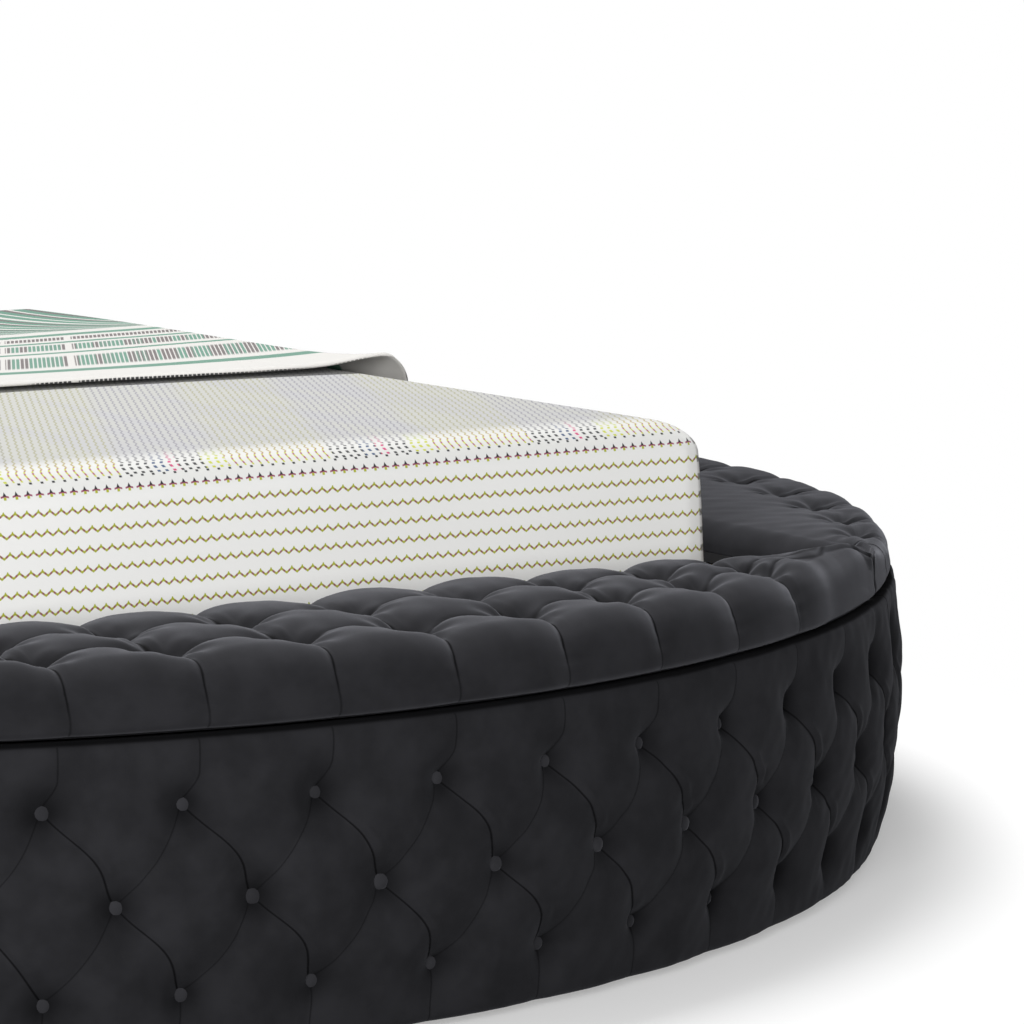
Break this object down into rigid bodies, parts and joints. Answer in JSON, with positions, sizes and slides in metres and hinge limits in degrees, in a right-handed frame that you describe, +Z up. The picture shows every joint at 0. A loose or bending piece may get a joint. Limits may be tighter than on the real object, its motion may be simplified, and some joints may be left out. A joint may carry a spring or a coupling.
{
  "type": "round upholstered storage bed",
  "caption": "Round button-tufted storage bed with hinged padded lids over curved storage boxes, a slatted mattress well, mattress, blanket and curved headboard.",
  "frame": {"origin": "on the floor under the centre of the round", "axes": "+Z up, +X to the right seen from the foot, the foot faces -Y and the headboard is at +Y"},
  "size_m": [3.006, 3.006, 1.25],
  "materials": {
    "velvet": "charcoal velvet with a soft nap",
    "plywood": "clear sanded plywood",
    "timber": "planed softwood",
    "black_steel": "satin black powder coat",
    "zinc_steel": "bright zinc plate",
    "nylon": "matt black nylon",
    "felt": "pressed felt",
    "webbing": "woven cotton tape",
    "sheet_cloth": "white sheet with rows of fine zigzags",
    "blanket_cloth": "cream woven blanket with green and brown stripes"
  },
  "bodies": {
    "frame": {"foot_box_bottom": "plywood", "right_box_bottom": "plywood", "left_box_bottom": "plywood", "head_box_bottom": "plywood", "foot_shell": "plywood", "right_shell": "plywood", "left_shell": "plywood", "head_shell": "plywood", "foot_inner_panel": "plywood", "right_inner_panel": "plywood", "left_inner_panel": "plywood", "head_inner_panel": "plywood", "corner_posts": "timber", "inner_wall_covers": "velvet", "foot_skirt": "velvet", "right_skirt": "velvet", "left_skirt": "velvet", "head_skirt": "velvet", "skirt_buttons": "velvet", "corner_battens": "timber", "corner_bolts": "zinc_steel", "floor_glides": "nylon", "slats": "timber", "slat_cleats": "timber", "slat_straps": "webbing", "centre_beam": "timber", "beam_brackets": "black_steel", "beam_legs": "timber", "beam_leg_feet": "nylon", "hinge_frame_leaves": "black_steel", "hinge_pins": "zinc_steel", "rim_bumpers": "felt", "corner_boards": "plywood", "corner_cushions": "velvet", "head_deck_board": "plywood", "head_deck_cushion": "velvet", "head_deck_buttons": "velvet", "headboard_pad": "velvet", "headboard_back_pad": "velvet", "headboard_buttons": "velvet", "headboard_panel": "plywood", "headboard_uprights": "black_steel", "headboard_bolts": "zinc_steel", "mattress": "sheet_cloth", "blanket": "blanket_cloth"},
    "foot_lid": {"foot_lid_board": "plywood", "foot_lid_cushion": "velvet", "foot_lid_buttons": "velvet", "foot_lid_hinge_leaves": "black_steel"},
    "right_lid": {"right_lid_board": "plywood", "right_lid_cushion": "velvet", "right_lid_buttons": "velvet", "right_lid_hinge_leaves": "black_steel"},
    "left_lid": {"left_lid_board": "plywood", "left_lid_cushion": "velvet", "left_lid_buttons": "velvet", "left_lid_hinge_leaves": "black_steel"}
  },
  "joints": [
    {"name": "foot_lid_hinge", "type": "hinge", "parent": "frame", "child": "foot_lid", "pos_m": [0, -1.0954, 0.3985], "axis": [-1, 0, 0], "range_deg": [0, 65]},
    {"name": "right_lid_hinge", "type": "hinge", "parent": "frame", "child": "right_lid", "pos_m": [0.9954, 0, 0.3985], "axis": [0, -1, 0], "range_deg": [0, 80]},
    {"name": "left_lid_hinge", "type": "hinge", "parent": "frame", "child": "left_lid", "pos_m": [-0.9954, 0, 0.3985], "axis": [0, 1, 0], "range_deg": [0, 80]}
  ]
}
